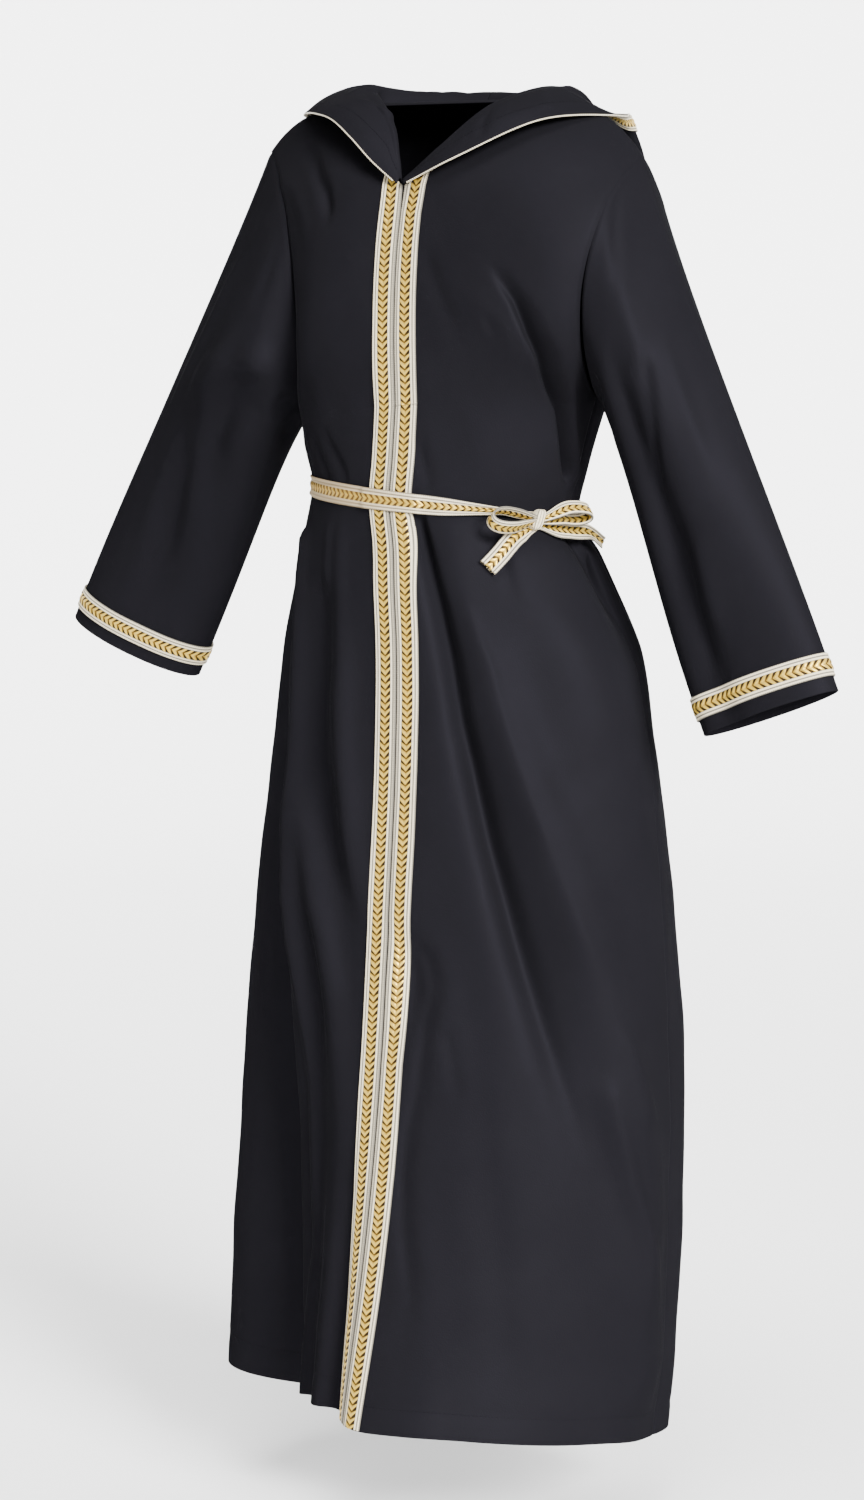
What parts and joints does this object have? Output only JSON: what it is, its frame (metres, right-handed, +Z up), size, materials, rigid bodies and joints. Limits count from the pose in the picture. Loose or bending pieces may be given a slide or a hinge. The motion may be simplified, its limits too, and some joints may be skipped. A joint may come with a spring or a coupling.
{
  "type": "hooded abaya",
  "caption": "Child's loose ankle-length hooded abaya in plain black crepe with woven gold and ivory braid and a tied braid belt, hollow, hanging as worn.",
  "frame": {"origin": "the middle of the neck, level with the tops of the shoulders, where the wearer's neck and shoulders hold the garment up", "axes": "+Z up along the wearer's back, -Y out of the front, +X towards the wearer's left"},
  "size_m": [0.7013, 0.325, 1.0264],
  "materials": {
    "black_crepe": "matt polyester crepe with a soft low sheen",
    "braid_tape": "woven tape: ribbed ivory borders and a metallic gold chevron band"
  },
  "bodies": {
    "root": {"back": "black_crepe", "front_left": "black_crepe", "front_right": "black_crepe", "sleeve_left": "black_crepe", "sleeve_right": "black_crepe", "hood_left": "black_crepe", "hood_right": "black_crepe", "front_trim_left": "braid_tape", "front_trim_right": "braid_tape", "cuff_trim_left": "braid_tape", "cuff_trim_right": "braid_tape", "hood_trim_left": "braid_tape", "hood_trim_right": "braid_tape", "belt": "braid_tape", "belt_knot": "braid_tape", "bow_loop_left": "braid_tape", "bow_loop_right": "braid_tape", "belt_tail_left": "braid_tape", "belt_tail_right": "braid_tape"}
  },
  "joints": []
}
